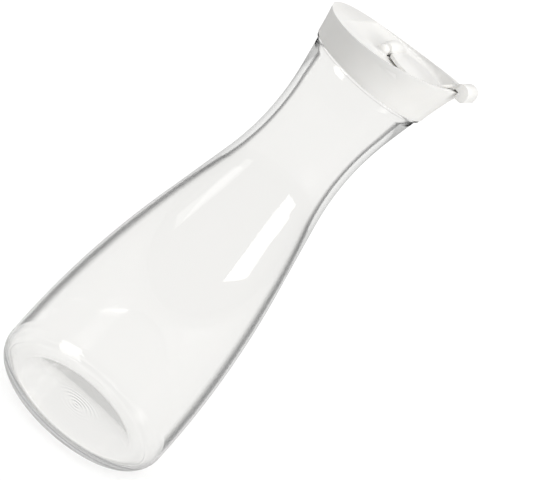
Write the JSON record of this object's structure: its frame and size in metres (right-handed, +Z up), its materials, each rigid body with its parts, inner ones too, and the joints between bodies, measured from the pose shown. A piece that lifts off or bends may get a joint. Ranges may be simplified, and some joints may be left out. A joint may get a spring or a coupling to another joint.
{
  "type": "plastic pitcher",
  "caption": "Clear carafe with a slim waist and a white push-on lid whose hinged flap stops the pouring hole with a soft plug.",
  "frame": {"origin": "middle of the foot, on the surface that the pitcher stands on", "axes": "+Z up along the bottle's axis, +X towards the spout, Y along the hinge axis"},
  "size_m": [0.1, 0.1, 0.2667],
  "materials": {
    "clear_wall": "clear polished plastic",
    "white_lid": "white moulded plastic, satin",
    "white_flap": "white moulded plastic, satin",
    "soft_stopper": "translucent soft rubber"
  },
  "bodies": {
    "pitcher": {"bottle": "clear_wall", "lid": "white_lid"},
    "flap": {"flap": "white_flap", "stopper": "soft_stopper"}
  },
  "joints": [
    {"name": "flap_hinge", "type": "hinge", "parent": "pitcher", "child": "flap", "pos_m": [-0.00029, 0, 0.253], "axis": [0, -1, 0], "range_deg": [0, 145]}
  ]
}
